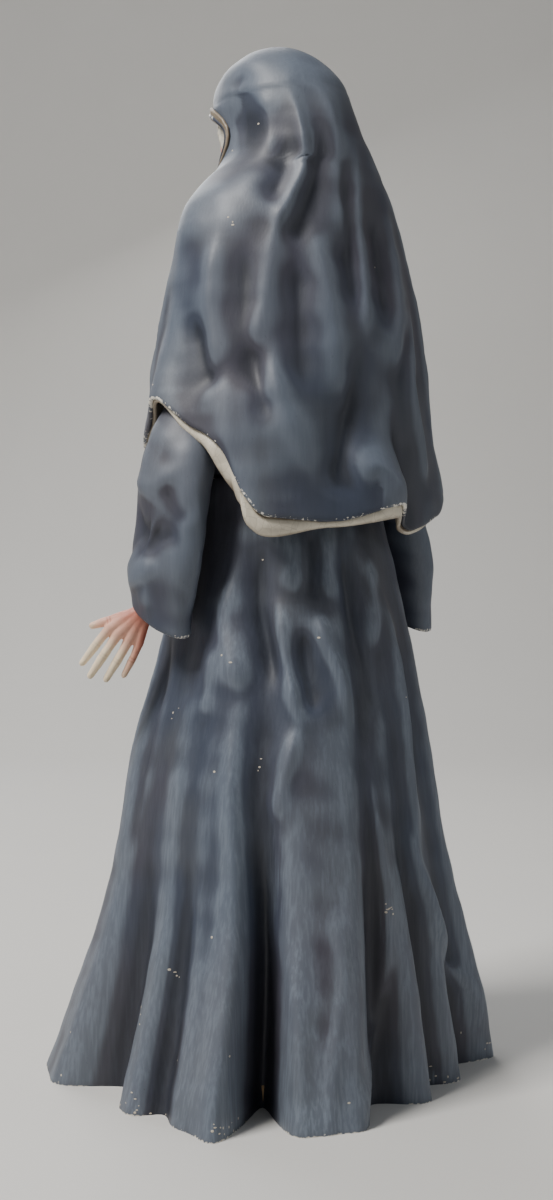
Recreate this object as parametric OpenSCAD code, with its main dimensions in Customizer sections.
// Standing papier-mache figure of a veiled woman with lowered, open hands.
// Painted paper shells over a wooden post, a card skirt cone and wire arms, all on a round base board.
// The figure looks along -Y and stands on Z = 0. The origin is the centre of the base board's underside.

/* [Skirt] */
// Height of the skirt, from the floor to the waist
skirt_h = 172; // [140:1:210]
// Mean radius of the hem
hem_r = 58; // [48:1:70]
// Half width of the skirt at the waist
waist_x = 28; // [23:0.5:33]
// Half depth of the skirt at the waist
waist_y = 24; // [20:0.5:28]
// Thickness of the skirt's paper wall
skirt_wall = 2; // [1.2:0.1:3]
// How much deeper or shallower the hem's folds are
fold_scale = 1; // [0.5:0.05:1.2]

/* [Torso] */
// Height of the torso, from the waist to the shoulders
torso_h = 72; // [58:1:88]
// Half width of the bodice at the chest
chest_x = 19; // [16:0.5:21]
// Half depth of the bodice at the chest
chest_y = 15; // [12:0.5:17]
// Thickness of the bodice's paper wall
bodice_wall = 1.5; // [1:0.1:2]
// Height of the paper band over the waist joint
band_h = 7; // [4:0.5:10]

/* [Head] */
// Length of the neck between shoulders and chin
neck_h = 16; // [13:0.5:20]
// Height of the head, from chin to crown
head_h = 33.5; // [28:0.5:40]
// Width of the head
head_w = 26; // [22:0.5:30]
// Depth of the head, from brow to nape
head_d = 31; // [26:0.5:36]
// How far the head is bowed, in degrees
head_bow = 12; // [0:1:20]
// How far the head is turned to its left, in degrees
head_turn = 12; // [0:1:20]
// Thickness of the coif, the pale cap under the veil
coif_t = 1; // [0.8:0.1:1.8]

/* [Veil] */
// Thickness of the veil's painted outer layer
veil_wall = 1.3; // [0.8:0.1:2]
// Thickness of the pale lining
lining_wall = 1; // [0.6:0.1:1.6]
// Free height between the top of the head and the lining
crown_gap = 3.2; // [2.4:0.1:6]
// Height of the veil's lowest point at the back, below the shoulders
veil_drop = 86; // [75:1:95]

/* [Sleeves and hands] */
// Thickness of a sleeve's paper wall
sleeve_wall = 1.4; // [0.8:0.1:2]
// Length of a sleeve, from the shoulder to the lowest point of its cuff
sleeve_len = 107; // [92:1:120]
// How much further out the right cuff is held than the left one
right_spread = 7; // [0.5:0.5:9]
// Length of a hand, from the wrist to the middle fingertip
hand_len = 24.5; // [20:0.5:29]

/* [Base and armature] */
// Radius of the plywood base board under a hem of the usual radius; it grows and shrinks with the hem
board_r = 40; // [34:0.5:42]
// Thickness of the base board
board_t = 6; // [4:0.5:9]
// Diameter of the wooden post
post_d = 8; // [6:0.5:9]
// Diameter of the dowel across the shoulders
bar_d = 4; // [3:0.25:5]
// Diameter of the arm wires
wire_d = 1.8; // [1.2:0.1:2.4]
// Thickness of the card skirt cone
cone_wall = 1.2; // [0.8:0.1:2]
// Thickness of the waist disc
disc_t = 4; // [3:0.5:6]
// Shank diameter of the wood screw in the base
screw_d = 3; // [2.5:0.25:3.5]
// Length of the wood screw
screw_len = 24; // [18:1:30]

/* [Hidden] */

fit = 0.05;              // radial clearance of each dowel, wire and screw in its hole
glue_gap = 0.1;          // glue line between two paper shells

shoulder_z = skirt_h + torso_h;
chin_z = shoulder_z + neck_h;
head_top_z = chin_z + head_h;
crown_z = head_top_z + crown_gap + lining_wall + veil_wall;

slate = "#565e6c";
cream = "#cdc3ac";
skin = "#d9a58c";
raw_paper = "#b9a583";
timber = "#c49a6c";
steel = "#9a9c9e";

// ---- helpers -------------------------------------------------------------------------------------------

function ease(x) = (1 - cos(180 * x)) / 2;
function mix(a, b, x) = a + (b - a) * x;
function unit(v) = v / norm(v);

// Point in direction a of an oval that has its own half width on each side.
function oval(a, right, back, left, front, z, axis_y) =
    [(cos(a) >= 0 ? left : right) * cos(a), axis_y + (sin(a) >= 0 ? back : front) * sin(a), z];

// Value at z of one column of a table whose rows run from the top down, eased between the rows.
function station(table, z, col, i = 0) =
    z >= table[0][0] ? table[0][col]
    : i >= len(table) - 2 || z > table[i + 1][0]
        ? mix(table[i][col], table[i + 1][col], min(1, (table[i][0] - z) / (table[i][0] - table[i + 1][0])))
        : station(table, z, col, i + 1);

// Value of a closed curve of [angle, value] points at an angle from 0 to 360, eased between the points.
function around(points, a, i = 0) =
    a >= points[i][0] && (i == len(points) - 1 || a < points[i + 1][0])
        ? let (next = i == len(points) - 1 ? points[0] + [360, 0] : points[i + 1])
          mix(points[i][1], next[1], ease((a - points[i][0]) / (next[0] - points[i][0])))
        : around(points, a, i + 1);

// Thin closed shell between an outer and an inner skin. A skin is a list of rows from the top down, and each
// row runs anticlockwise seen from above. Between the two rows in gap the row's ends stay apart, which leaves
// an opening. A dome has its first row closed; the other shells are open at the top.
module shell(outer, inner, gap = [0, 0], dome = false) {
    rows = len(outer) - 1;
    cols = len(outer[0]);
    last = cols - 1;
    function at(side, i, j) = (side * (rows + 1) + i) * cols + j % cols;
    function halves(a, b, c, d) = [[a, b, c], [a, c, d]];
    function joined(i, j) = j < last || i < gap[0] || i >= gap[1];
    function rim(i, j) = [at(1, i, j + 1), at(0, i, j + 1), at(0, i, j), at(1, i, j)];
    walls = [for (i = [0 : rows - 1], j = [0 : last]) if (joined(i, j)) each concat(
        halves(at(0, i, j), at(0, i, j + 1), at(0, i + 1, j + 1), at(0, i + 1, j)),
        halves(at(1, i + 1, j), at(1, i + 1, j + 1), at(1, i, j + 1), at(1, i, j)))];
    top = dome
        ? [[for (j = [last : -1 : 0]) at(0, 0, j)], [for (j = [0 : last]) at(1, 0, j)]]
        : [for (j = [0 : last]) let (r = rim(0, j)) each halves(r[0], r[1], r[2], r[3])];
    bottom = [for (j = [0 : last]) if (joined(rows - 1, j))
        let (r = rim(rows, j)) each halves(r[3], r[2], r[1], r[0])];
    sides = gap[1] <= gap[0] ? [] : [for (i = [gap[0] : gap[1] - 1]) each concat(
        halves(at(1, i, 0), at(0, i, 0), at(0, i + 1, 0), at(1, i + 1, 0)),
        halves(at(1, i + 1, last), at(0, i + 1, last), at(0, i, last), at(1, i, last)))];
    ends = gap[1] <= gap[0] ? [] : let (a = rim(gap[0], last), b = rim(gap[1], last))
        concat(halves(a[3], a[2], a[1], a[0]), gap[1] == rows ? [] : halves(b[0], b[1], b[2], b[3]));
    polyhedron([for (skin = [outer, inner], row = skin) each row], concat(walls, top, bottom, sides, ends));
}

// Solid loft through rows from the top down.
module loft(rows) {
    cols = len(rows[0]);
    last = cols - 1;
    function at(i, j) = i * cols + j % cols;
    sides = [for (i = [0 : len(rows) - 2], j = [0 : last]) each
        [[at(i, j), at(i, j + 1), at(i + 1, j + 1)], [at(i, j), at(i + 1, j + 1), at(i + 1, j)]]];
    top = [for (j = [last : -1 : 0]) at(0, j)];
    bottom = [for (j = [0 : last]) at(len(rows) - 1, j)];
    polyhedron([for (row = rows) each row], concat(sides, [top, bottom]));
}

// Round rod swept through a list of points that stay off the Y direction.
rod_sides = 12;
module rod(points, d) {
    last = len(points) - 1;
    loft([for (i = [0 : last])
        let (t = unit(points[min(i + 1, last)] - points[max(i - 1, 0)]),
             n = unit(cross(t, [0, 1, 0])), m = cross(n, t))
        [for (j = [0 : rod_sides - 1])
            let (a = 360 * j / rod_sides) points[i] + d / 2 * (cos(a) * n + sin(a) * m)]]);
}

// ---- base and armature ---------------------------------------------------------------------------------

usual_hem_r = 58;        // the hem radius that board_r is stated for
board_edge = board_r + hem_r - usual_hem_r;
screw_head_r = screw_d;
post_top_z = chin_z + head_h / 3;
bar_z = shoulder_z - 8;
bar_half = chest_x - 1;
bar_socket = 6;          // depth of the wire socket in each end of the shoulder bar

module base_board() {
    color(timber) difference() {
        cylinder(r = board_edge, h = board_t, $fn = 96);
        translate([0, 0, -1]) cylinder(d = screw_d + 4 * fit, h = board_t + 2, $fn = 32);
        translate([0, 0, -0.01])
            cylinder(r1 = screw_head_r + 2 * fit, r2 = screw_d / 2 + fit, h = screw_head_r / 2, $fn = 48);
    }
}

module base_screw() {
    color(steel) {
        cylinder(r1 = screw_head_r, r2 = screw_d / 2, h = screw_head_r / 2, $fn = 48);
        translate([0, 0, screw_head_r / 2]) cylinder(d = screw_d, h = screw_len - screw_head_r / 2, $fn = 32);
    }
}

module armature_post() {
    color(timber) difference() {
        translate([0, 0, board_t]) cylinder(d = post_d, h = post_top_z - board_t, $fn = 48);
        translate([0, 0, board_t - 1]) cylinder(d = screw_d + 2 * fit, h = screw_len - board_t + 2, $fn = 32);
        translate([0, 0, bar_z]) rotate([0, 90, 0])
            cylinder(d = bar_d + 2 * fit, h = 2 * post_d, center = true, $fn = 32);
    }
}

module shoulder_bar() {
    color(timber) difference() {
        translate([0, 0, bar_z]) rotate([0, 90, 0])
            cylinder(d = bar_d, h = 2 * bar_half, center = true, $fn = 32);
        for (side = [-1, 1]) translate([side * bar_half, 0, bar_z]) rotate([0, 90, 0])
            cylinder(d = wire_d + 2 * fit, h = 2 * bar_socket, center = true, $fn = 24);
    }
}

// The skirt's outline without its folds, from the waist down: height, axis, then half widths to the left,
// to the right, to the front and to the back.
skirt_table = [
    [skirt_h, 3, waist_x, waist_x, waist_y, waist_y],
    [skirt_h * 0.9, 2.3, mix(waist_x, hem_r, 0.06), mix(waist_x, hem_r, 0.18), mix(waist_y, hem_r, 0.06),
     mix(waist_y, hem_r, 0.15)],
    [skirt_h * 0.77, 1.4, mix(waist_x, hem_r, 0.14), mix(waist_x, hem_r, 0.32), mix(waist_y, hem_r, 0.2),
     mix(waist_y, hem_r, 0.3)],
    [skirt_h * 0.64, 0.5, mix(waist_x, hem_r, 0.3), mix(waist_x, hem_r, 0.46), mix(waist_y, hem_r, 0.35),
     mix(waist_y, hem_r, 0.46)],
    [skirt_h * 0.52, -0.4, mix(waist_x, hem_r, 0.5), mix(waist_x, hem_r, 0.56), mix(waist_y, hem_r, 0.5),
     mix(waist_y, hem_r, 0.58)],
    [skirt_h * 0.3, -2, mix(waist_x, hem_r, 0.61), mix(waist_x, hem_r, 0.75), mix(waist_y, hem_r, 0.68),
     mix(waist_y, hem_r, 0.77)],
    [skirt_h * 0.2, -2.6, mix(waist_x, hem_r, 0.71), mix(waist_x, hem_r, 0.83), mix(waist_y, hem_r, 0.77),
     mix(waist_y, hem_r, 0.84)],
    [0, -4, hem_r, hem_r, hem_r, hem_r]];
function skirt_axis_y(z) = station(skirt_table, z, 1);

oval_cols = 32;
function oval_row(z, axis_y, x, y, cols = oval_cols) =
    [for (j = [0 : cols - 1]) let (a = 360 * j / cols) [x * cos(a), axis_y + y * sin(a), z]];

disc_x = waist_x - skirt_wall - glue_gap;
disc_y = waist_y - skirt_wall - glue_gap;

module waist_disc() {
    axis_y = skirt_axis_y(skirt_h);
    color(timber) difference() {
        loft([oval_row(skirt_h, axis_y, disc_x, disc_y), oval_row(skirt_h - disc_t, axis_y, disc_x, disc_y)]);
        translate([0, 0, skirt_h - disc_t - 1]) cylinder(d = post_d + 2 * fit, h = disc_t + 2, $fn = 48);
    }
}

module skirt_cone() {
    top_z = skirt_h - disc_t;
    top_x = disc_x - 3;
    top_y = disc_y - 3;
    foot = board_edge - 1;
    color(raw_paper) shell(
        [oval_row(top_z, skirt_axis_y(top_z), top_x, top_y), oval_row(board_t, 0, foot, foot)],
        [oval_row(top_z, skirt_axis_y(top_z), top_x - cone_wall, top_y - cone_wall),
         oval_row(board_t, 0, foot - cone_wall, foot - cone_wall)]);
}

// ---- torso ---------------------------------------------------------------------------------------------

// Height, axis, half width and half depth of the bodice, from the neck down.
bodice_table = [
    [shoulder_z + 3, 1, post_d / 2 + 4, post_d / 2 + 4],
    [shoulder_z - 3, 1, chest_x * 0.78, chest_y * 0.62],
    [shoulder_z - 12, 1, chest_x * 0.98, chest_y * 0.82],
    [shoulder_z - 28, 0, chest_x, chest_y],
    [skirt_h + 16, 1.5, chest_x * 0.92, chest_y * 0.86],
    [skirt_h, 3, waist_x - skirt_wall - 1.5, waist_y - skirt_wall - 1.5]];

function bodice_rows(inset) = [for (s = bodice_table) oval_row(s[0], s[1], s[2] - inset, s[3] - inset)];

module bodice() {
    color(slate) difference() {
        shell(bodice_rows(0), bodice_rows(bodice_wall));
        for (side = [-1, 1]) translate([side * chest_x, 0, bar_z]) rotate([0, 90, 0])
            cylinder(d = wire_d + 6, h = 16, center = true, $fn = 32);
    }
}

module torso_core() {
    color(raw_paper) difference() {
        loft(bodice_rows(bodice_wall + 2 * glue_gap));
        translate([0, 0, skirt_h - 1]) cylinder(d = post_d + 2 * fit, h = torso_h + 10, $fn = 48);
        translate([0, 0, bar_z]) rotate([0, 90, 0])
            cylinder(d = bar_d + 2 * fit, h = 3 * chest_x, center = true, $fn = 32);
    }
}

module waist_band() {
    axis_y = skirt_axis_y(skirt_h);
    x = waist_x - skirt_wall;
    y = waist_y - skirt_wall;
    low = skirt_h + glue_gap;
    high = skirt_h + band_h;
    color(slate) shell(
        [oval_row(high, axis_y, x + 0.5, y + 0.5), oval_row(low, axis_y, x + 1, y + 1)],
        [oval_row(high, axis_y, x - 1, y - 1), oval_row(low, axis_y, x - 1, y - 1)]);
}

// ---- skirt ---------------------------------------------------------------------------------------------

// Ridges and valleys of the hem, anticlockwise from the left hand side: angle at the hem, depth at the hem,
// angle at the waist, and how fast the fold dies out upwards.
skirt_folds = [
    [-32, 8, -26, 2.2], [-15, 7, -8, 2.2], [-2, -9, 4, 1.2], [18, 4, 15, 1.3], [25, -1, 22, 0.8],
    [33, 6, 27, 1.2], [44, 12, 34, 1.3], [53, -12, 45, 1.6], [62, 8, 58, 1.4], [76, 8, 84, 0.8],
    [90, -8, 92, 0.9], [104, 1, 98, 1.2], [114, -7, 104, 1.1], [125, 0, 110, 1.2], [136, -5, 120, 0.9],
    [148, 9, 134, 1.0], [162, -8, 160, 1.0], [178, 6, 176, 1.2], [192, -7, 190, 1.3], [207, 8, 205, 1.4],
    [222, -8, 222, 1.2], [234, 5, 236, 1.3], [246, 7, 248, 1.1], [259, -9, 260, 1.0], [271, 8, 270, 0.9],
    [285, -8, 284, 1.1], [300, 8, 300, 1.2], [314, -8, 317, 1.4]];
fold_steps = 3;          // columns from one fold line to the next
skirt_rows = 12;

function fold_line(k, t) =
    let (n = len(skirt_folds), f = skirt_folds[k % n])
    [mix(f[0], f[2], t) + 360 * floor(k / n), fold_scale * f[1] * pow(1 - t, f[3])];

function skirt_row(t, inset) = [
    for (k = [0 : len(skirt_folds) - 1], m = [0 : fold_steps - 1])
        let (here = fold_line(k, t), next = fold_line(k + 1, t), s = m / fold_steps,
             a = mix(here[0], next[0], s), depth = mix(here[1], next[1], ease(s)) - inset, z = skirt_h * t)
        oval(a, station(skirt_table, z, 3) + depth, station(skirt_table, z, 5) + depth,
             station(skirt_table, z, 2) + depth, station(skirt_table, z, 4) + depth, z, skirt_axis_y(z))];

function skirt_skin(inset) = [for (i = [skirt_rows : -1 : 0]) skirt_row(i / skirt_rows, inset)];

module skirt() {
    color(slate) shell(skirt_skin(0), skirt_skin(skirt_wall));
}

// ---- sleeves and arms ----------------------------------------------------------------------------------

cuff_z = shoulder_z - 4 - sleeve_len;
free_z = shoulder_z - 46;        // just above the veil's hem at the side, where a sleeve starts to widen
free_len = free_z - cuff_z;
// Height, centre and half widths of a left sleeve, from the shoulder down.
sleeve_table = [
    [bar_z - 1.4, chest_x + 6, 2.2, 6, 7],
    [shoulder_z - 18, chest_x + 6.9, 2.7, 6.5, 7.7],
    [shoulder_z - 31, chest_x + 8, 3.5, 7, 8.6],
    [free_z, chest_x + 10, 4.5, 7.2, 9],
    [cuff_z + free_len * 0.84, chest_x + 14.8, 5, 7.8, 9.2],
    [cuff_z + free_len * 0.71, chest_x + 17.6, 6, 8.5, 12.5],
    [cuff_z + free_len * 0.58, chest_x + 19.3, 5.3, 9, 14.2],
    [cuff_z + free_len * 0.43, chest_x + 20.3, 4.8, 8.4, 13.8],
    [cuff_z + free_len * 0.28, chest_x + 21.2, 3.5, 7.8, 13.4],
    [cuff_z + free_len * 0.13, chest_x + 21.3, 1.5, 7, 12.7],
    [cuff_z, chest_x + 21.2, 0.7, 6.4, 12]];
// The right arm is held differently: its elbow is in, under the veil, and its cuff is out.
function elbow(z) =
    let (s = (z - cuff_z) / free_len)
    ease(max(0, min(1, (s - 0.33) / 0.17, (1.09 - s) / 0.26)));
function arm_out(z, spread) =
    spread <= 0 ? 0 : spread * max(0, 1 - (z - cuff_z) / (free_len * 0.54)) - elbow_tuck * elbow(z);
sleeve_cols = 22;
cuff_slope = 0.42;       // the cuff is this much lower behind than in front
elbow_tuck = 1;          // how far the right elbow is in
elbow_slim = 2.2;        // how much slimmer the right elbow is

function sleeve_row(s, spread, inset) =
    let (slim = spread <= 0 ? 0 : elbow_slim * elbow(s[0]),
         x = s[3] - slim - inset, y = s[4] - slim / 2 - inset)
    [for (j = [0 : sleeve_cols - 1])
        let (a = 360 * j / sleeve_cols, low = max(0, 1 - (s[0] - cuff_z) / (free_len * 0.43)))
        [s[1] + arm_out(s[0], spread) + x * cos(a), s[2] + y * sin(a),
         s[0] - cuff_slope * low * s[4] * sin(a)]];

function sleeve_skin(spread, inset) = [for (s = sleeve_table) sleeve_row(s, spread, inset)];

module sleeve(spread) {
    color(slate) shell(sleeve_skin(spread, 0), sleeve_skin(spread, sleeve_wall));
}

module left_sleeve() {
    sleeve(0);
}

module right_sleeve() {
    mirror([1, 0, 0]) sleeve(right_spread);
}

// Wrist, finger direction and back-of-hand direction of the left hand.
wrist = [chest_x + 22.3, -6.9, cuff_z + 1.5];
finger_dir = unit([0.46, -0.32, -0.83]);
back_dir = unit([0.57, 0.82, 0]);
little_dir = unit(cross(back_dir, finger_dir));
forearm_len = 6;

// Place across the palm, splay, length as a share of the hand, and root radius, from index to little finger.
finger_table = [[-5.4, -4, 0.51, 1.3], [-2.4, 0, 0.58, 1.35], [1, 4, 0.51, 1.3], [4.1, 8, 0.37, 1.15]];
palm_len = hand_len * 0.4;

module capsule(a, b, ra, rb) {
    hull() {
        translate(a) sphere(r = ra, $fn = 12);
        translate(b) sphere(r = rb, $fn = 12);
    }
}

// Left hand with its wrist at the origin, fingers along +Z, back towards +Y and little finger towards +X.
module hand() {
    capsule([0, 0, -forearm_len], [0, 0, 1], 2.7, 2.6);
    hull() {
        translate([-0.3, 0, 0]) sphere(r = 2.7, $fn = 12);
        translate([-5.1, 0, palm_len]) sphere(r = 1.6, $fn = 12);
        translate([4, 0, palm_len - 1]) sphere(r = 1.4, $fn = 12);
    }
    for (f = finger_table) {
        root = [f[0], 0, palm_len];
        length = hand_len * f[2] - f[3];
        knuckle = root + length * 0.5 * [sin(f[1]), -0.1, cos(f[1])];
        tip = knuckle + length * 0.5 * [sin(f[1]), -0.3, cos(f[1])];
        capsule(root, knuckle, f[3], f[3] * 0.92);
        capsule(knuckle, tip, f[3] * 0.92, f[3] * 0.75);
    }
    capsule([-2, -0.4, 2.5], [-6.2, -1.2, 6.5], 2.2, 1.5);
    capsule([-6.2, -1.2, 6.5], [-9.8, -1.8, 10.8], 1.4, 1);
}

module placed_hand(spread) {
    color(skin) multmatrix([
        [little_dir.x, back_dir.x, finger_dir.x, wrist.x + arm_out(wrist.z, spread)],
        [little_dir.y, back_dir.y, finger_dir.y, wrist.y],
        [little_dir.z, back_dir.z, finger_dir.z, wrist.z]])
        hand();
}

module left_hand() {
    placed_hand(0);
}

module right_hand() {
    mirror([1, 0, 0]) placed_hand(right_spread);
}

module arm_wire(spread) {
    path = [
        [bar_half - bar_socket + 1, 0, bar_z],
        [bar_half + 3, 0, bar_z],
        [chest_x + 6, 2.2, bar_z - 4],
        [chest_x + 8.4, 3.7, shoulder_z - 33],
        [chest_x + 16.5, 5, cuff_z + free_len * 0.74],
        [chest_x + 19.6, 2.5, cuff_z + free_len * 0.53],
        wrist - finger_dir * (forearm_len + 3.1)];
    color(steel) rod([for (p = path) p + [arm_out(p.z, spread), 0, 0]], wire_d);
}

module left_arm_wire() {
    arm_wire(0);
}

module right_arm_wire() {
    mirror([1, 0, 0]) arm_wire(right_spread);
}

// ---- head and coif -------------------------------------------------------------------------------------

head_mid = [0.5, -3.8, chin_z + head_h * 0.5];   // bowed a little forward of the post
function turned(p) =
    [p.x * cos(head_turn) - p.y * sin(head_turn), p.x * sin(head_turn) + p.y * cos(head_turn), p.z];
head_cols = 28;
head_bands = 12;

// A point of the head's surface, from the crown (down = 0) to the chin (down = 180), grown outwards by grow.
function head_point(down, a, grow) =
    let (low = max(0, -cos(down)), narrow = 1 - 0.22 * low,
         x = (head_w / 2 + grow) * sin(down) * cos(a) * narrow,
         y = (head_d / 2 + grow) * sin(down) * sin(a) * narrow - 2.5 * low,
         z = (head_h / 2 + grow) * cos(down))
    head_mid + turned([x, y * cos(head_bow) - z * sin(head_bow) / 2, z * cos(head_bow) + y * sin(head_bow)]);

function head_row(down, grow, from = -90, span = 360) = [
    for (j = [0 : head_cols - 1])
        head_point(down, from + span * j / (span < 360 ? head_cols - 1 : head_cols), grow)];

module head() {
    color(skin) difference() {
        union() {
            loft([for (i = [0 : head_bands]) head_row(mix(5, 175, i / head_bands), 0)]);
            translate([0, 0, shoulder_z + 3.2])
                cylinder(d1 = post_d + 9, d2 = post_d + 5.5, h = neck_h + 2, $fn = 48);
        }
        translate([0, 0, shoulder_z])
            cylinder(d = post_d + 2 * fit, h = post_top_z - shoulder_z + fit, $fn = 48);
    }
}

// The coif leaves the face free, from the hairline down to the jaw.
function coif_span(down) = mix(330, 236, ease(min(1, max(0, (down - 30) / 60))));
coif_start = 2;          // the row under which the face opening begins
coif_rows = 9;
coif_gap = 3 * glue_gap;

function coif_skin(grow) = [
    for (i = [0 : coif_rows])
        let (down = mix(6, 118, i / coif_rows), span = i < coif_start ? 360 : coif_span(down))
        head_row(down, grow, -90 + (360 - span) / 2, span)];

module coif() {
    color(cream) shell(coif_skin(coif_gap + coif_t), coif_skin(coif_gap), [coif_start, coif_rows], true);
}

// ---- veil ----------------------------------------------------------------------------------------------

hood_x = head_w / 2 + 5;
hood_y = head_d / 2;
arm_x = chest_x + 16;
// Height, axis, then half widths to the left, right, front and back, from the crown down.
veil_table = [
    [crown_z, -1, 2.5, 2.5, 2.5, 2.5],
    [crown_z - 1.2, 0, 8, 8, 8, 8],
    [crown_z - 4, 1, 13, 12, 15.5, 12.5],
    [crown_z - 9.5, 2, hood_x - 0.2, hood_x - 2.3, hood_y + 8.5, hood_y + 3.5],
    [crown_z - 15, 3, hood_x + 1.6, hood_x - 0.2, hood_y + 12, hood_y + 6.5],
    [crown_z - 21, 3.5, hood_x + 0.6, hood_x + 1, hood_y + 13, hood_y + 7.5],
    [chin_z + 11, 4.5, hood_x - 0.8, hood_x + 4, hood_y + 9.5, hood_y + 8.5],
    [chin_z + 4, 5, hood_x + 0.6, hood_x + 9, hood_y + 7, hood_y + 9.5],
    [chin_z - 3, 5, arm_x - 8.5, arm_x - 4, hood_y + 6, hood_y + 10.5],
    [shoulder_z + 5, 4.5, arm_x - 0.5, arm_x - 1, hood_y + 4.5, hood_y + 11.5],
    [shoulder_z - 9, 4, arm_x + 0.5, arm_x + 2, hood_y + 6.5, hood_y + 15],
    [shoulder_z - 28, 3.5, arm_x + 2.5, arm_x + 8, hood_y + 8.5, hood_y + 19.5],
    [shoulder_z - 40, 3, arm_x + 4.5, arm_x + 7.5, hood_y + 10.5, hood_y + 20.5],
    [shoulder_z - 71, 3, arm_x + 8.5, arm_x + 13, hood_y + 15, hood_y + 24],
    [shoulder_z - veil_drop, 3, arm_x + 10, arm_x + 14, hood_y + 17, hood_y + 26]];

// How far the hem hangs above its lowest point, by angle.
hem_rise = [[0, 37], [28, 26], [52, 3], [75, 2], [104, 7], [115, 0], [135, 4], [153, 11], [180, 17],
            [208, 24], [238, 12], [262, 1], [276, 1], [300, 12], [335, 27]];
// How far the hem swings outwards, by angle.
hem_swing = [[0, 4], [22, 1], [45, 2], [75, 0], [104, 3.5], [115, -2.5], [132, 0], [153, 3], [172, 0],
             [195, 2], [215, 0], [240, 2.5], [262, 0], [280, 3], [300, 0], [325, 2.5], [345, 1]];
// How far the lining hangs below the painted layer, by angle.
lip_drop = [[0, 1], [25, 4], [38, 11], [52, 6], [75, 2], [100, 4], [112, 2], [150, 1], [330, 1]];

veil_cols = 48;
shoulder_row = 11;       // the row that lies on the shoulders
veil_rows = shoulder_row + 7;
// Share of the way from crown to shoulders of each row of the hood.
hood_rows = [0, 0.02, 0.065, 0.13, 0.21, 0.3, 0.385, 0.49, 0.6, 0.7, 0.85, 1];
face_rows = [5, 9];      // the face opening's top and bottom row
face_half = [0, 0, 0, 0, 0, 34, 52, 60, 54, 18];  // half angle of the opening in each row, to its bottom row
face_side = 278 + head_turn;

// The lining has one row more than the painted layer, its lip.
function veil_z(i, a) =
    let (hem = shoulder_z - veil_drop + around(hem_rise, a))
    i <= shoulder_row ? mix(crown_z, shoulder_z, hood_rows[i])
    : i <= veil_rows ? mix(shoulder_z, hem, (i - shoulder_row) / (veil_rows - shoulder_row))
    : hem - around(lip_drop, a);

function veil_point(i, j, inset) =
    let (half = i < len(face_half) ? face_half[i] : 0,
         a = (face_side + half + (360 - 2 * half) * j / (half > 0 ? veil_cols - 1 : veil_cols)) % 360,
         z = veil_z(i, a),
         fall = max(0, min(i, veil_rows) - shoulder_row) / (veil_rows - shoulder_row),
         grow = around(hem_swing, a) * pow(fall, 2) - inset,
         under = i < shoulder_row ? inset * pow(1 - i / shoulder_row, 2) : 0)
    oval(a, station(veil_table, z, 3) + grow, station(veil_table, z, 5) + grow,
         station(veil_table, z, 2) + grow, station(veil_table, z, 4) + grow,
         z - under, station(veil_table, z, 1));

function veil_skin(inset, rows) =
    [for (i = [0 : rows]) [for (j = [0 : veil_cols - 1]) veil_point(i, j, inset)]];

module veil() {
    color(slate) shell(veil_skin(0, veil_rows), veil_skin(veil_wall, veil_rows), face_rows, true);
}

module veil_lining() {
    outer = veil_wall + 2.5 * glue_gap;
    rows = veil_rows + 1;
    color(cream)
        shell(veil_skin(outer, rows), veil_skin(outer + lining_wall, rows), face_rows, true);
}

// ---- assembly ------------------------------------------------------------------------------------------

base_board();
base_screw();
armature_post();
skirt_cone();
waist_disc();
torso_core();
shoulder_bar();
left_arm_wire();
right_arm_wire();
skirt();
waist_band();
bodice();
left_sleeve();
right_sleeve();
left_hand();
right_hand();
head();
coif();
veil_lining();
veil();
